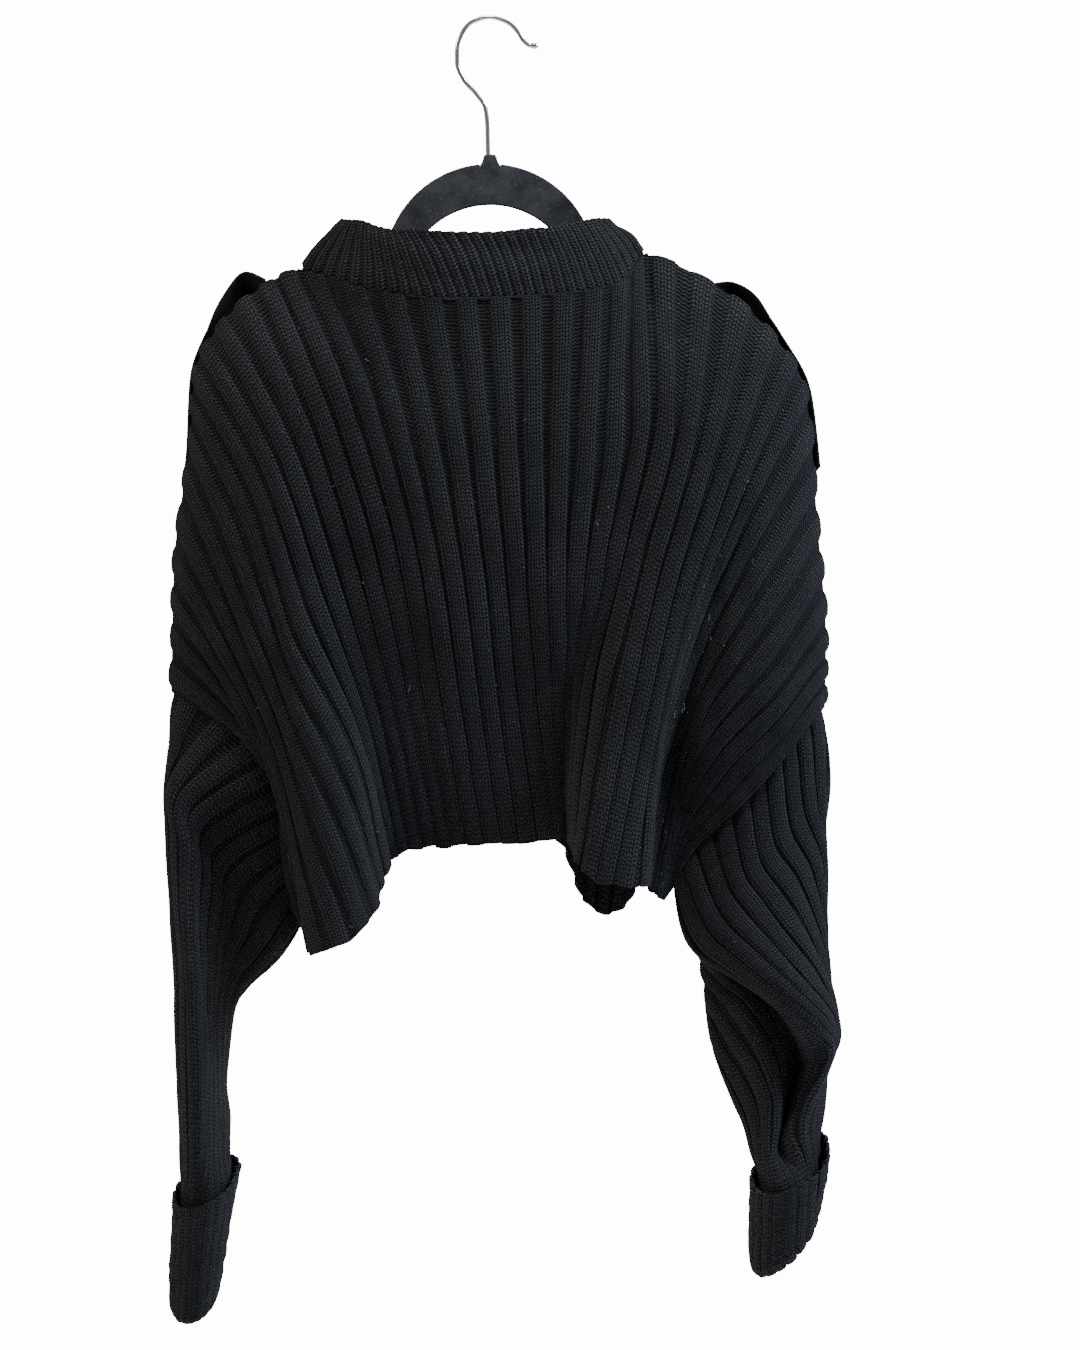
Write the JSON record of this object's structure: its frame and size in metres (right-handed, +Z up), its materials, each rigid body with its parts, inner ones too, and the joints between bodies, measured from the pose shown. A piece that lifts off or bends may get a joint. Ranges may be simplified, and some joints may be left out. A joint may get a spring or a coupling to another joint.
{
  "type": "cropped sweater on a hanger",
  "caption": "Cropped black rib-knit sweater with a mock neck, wide shoulders and turned-back cuffs, hanging back out from a flocked hanger with a wire hook.",
  "frame": {"origin": "inside top of the hanger's hook, where a rail carries it", "axes": "+Z up, +X to the right as the sweater's back is seen, -Y out of its back"},
  "size_m": [0.4853, 0.1157, 0.9343],
  "materials": {
    "rib_knit": "matte rib knit, lightly pilled",
    "woven_tab": "matte smooth weave",
    "flock": "short velvet flock",
    "hook_wire": "bright plated wire"
  },
  "bodies": {
    "root": {"back": "rib_knit", "front": "rib_knit", "collar": "rib_knit", "sleeve_left": "rib_knit", "sleeve_right": "rib_knit", "cuff_left": "rib_knit", "cuff_right": "rib_knit", "shoulder_tab_left": "woven_tab", "shoulder_tab_right": "woven_tab", "hanger_body": "flock", "hanger_hook": "hook_wire"}
  },
  "joints": []
}
